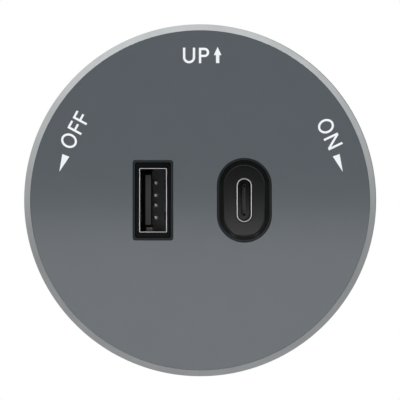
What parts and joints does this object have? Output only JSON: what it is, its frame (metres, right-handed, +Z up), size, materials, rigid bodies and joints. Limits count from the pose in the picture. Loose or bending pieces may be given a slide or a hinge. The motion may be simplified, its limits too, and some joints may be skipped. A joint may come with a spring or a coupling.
{
  "type": "power track usb socket",
  "caption": "Round twist-lock adapter that locks into a power track slot and gives a USB-A and a USB-C outlet in its flat face.",
  "frame": {"origin": "on the twist axis, in the plane of the track face that the seat ring of slot_guide lies against", "axes": "+Y along the twist axis into the track, -Y out of the face with the outlets, +Z up as the face stands in the picture, +X to the right seen from the front and along the track slot"},
  "size_m": [0.071, 0.0466, 0.071],
  "materials": {
    "face_paint": "satin dark grey",
    "trim_aluminium": "satin",
    "body_plastic": "fine moulded texture",
    "bezel_plastic": "semi gloss black",
    "port_steel": "plated",
    "port_insulator": "moulded",
    "gilt_contact": "gilt",
    "board_laminate": "lacquered",
    "screw_steel": "zinc plated",
    "nut_brass": "turned",
    "part_black": "moulded",
    "tinned_pin": "tinned",
    "ferrite": "sintered",
    "bobbin_plastic": "moulded",
    "coil_tape": "taped winding",
    "coil_wire": "enamelled copper wire",
    "capacitor_sleeve": "shrink sleeve",
    "film_case": "moulded case",
    "ceramic_blue": "dipped",
    "guide_plastic": "moulded",
    "spindle_plastic": "moulded",
    "contact_brass": "plated",
    "spring_steel": "wound wire"
  },
  "bodies": {
    "guide": {"slot_guide": "guide_plastic"},
    "housing": {"faceplate": "face_paint", "trim_ring": "trim_aluminium", "body_shell": "body_plastic", "usb_a_bezel": "bezel_plastic", "usb_c_bezel": "bezel_plastic", "usb_a_shell": "port_steel", "usb_a_insulator": "port_insulator", "usb_a_contacts": "gilt_contact", "usb_c_shell": "port_steel", "usb_c_insulator": "port_insulator", "usb_c_contacts": "gilt_contact", "usb_c_mid_plate": "port_steel", "port_board": "board_laminate", "port_board_screws": "screw_steel", "power_board": "board_laminate", "power_board_screws": "screw_steel", "header_block": "part_black", "header_pins": "tinned_pin", "transformer_core": "ferrite", "transformer_bobbin": "bobbin_plastic", "transformer_coil": "coil_tape", "bulk_capacitors": "capacitor_sleeve", "output_capacitors": "capacitor_sleeve", "filter_capacitor": "film_case", "choke_core": "ferrite", "choke_coils": "coil_wire", "fuse": "part_black", "suppressor_capacitor": "ceramic_blue", "bridge_rectifier": "part_black", "control_chips": "part_black", "rear_cover": "body_plastic", "cover_screws": "screw_steel", "spindle": "spindle_plastic", "head_cap": "spindle_plastic", "head_cap_screws": "screw_steel", "spindle_washer": "screw_steel", "spindle_nut": "nut_brass", "live_strip": "contact_brass", "neutral_strip": "contact_brass", "earth_terminal": "contact_brass", "live_spring": "spring_steel", "neutral_spring": "spring_steel", "earth_spring": "spring_steel"},
    "live_plunger": {"live_contact": "contact_brass"},
    "neutral_plunger": {"neutral_contact": "contact_brass"},
    "earth_plunger": {"earth_pin": "contact_brass"}
  },
  "joints": [
    {"name": "twist_lock", "type": "hinge", "parent": "guide", "child": "housing", "pos_m": [0, 0, 0], "axis": [0, 1, 0], "range_deg": [0, 90]},
    {"name": "live_press", "type": "slide", "parent": "housing", "child": "live_plunger", "axis": [-1, 0, 0], "range_m": [0, 0.0012], "stiffness_N_per_m": 800, "springref_m": -0.0015, "deforming": ["live_spring"]},
    {"name": "neutral_press", "type": "slide", "parent": "housing", "child": "neutral_plunger", "axis": [1, 0, 0], "range_m": [0, 0.0012], "stiffness_N_per_m": 800, "springref_m": -0.0015, "deforming": ["neutral_spring"]},
    {"name": "earth_press", "type": "slide", "parent": "housing", "child": "earth_plunger", "axis": [0, -1, 0], "range_m": [0, 0.0014], "stiffness_N_per_m": 800, "springref_m": -0.0015, "deforming": ["earth_spring"]}
  ]
}
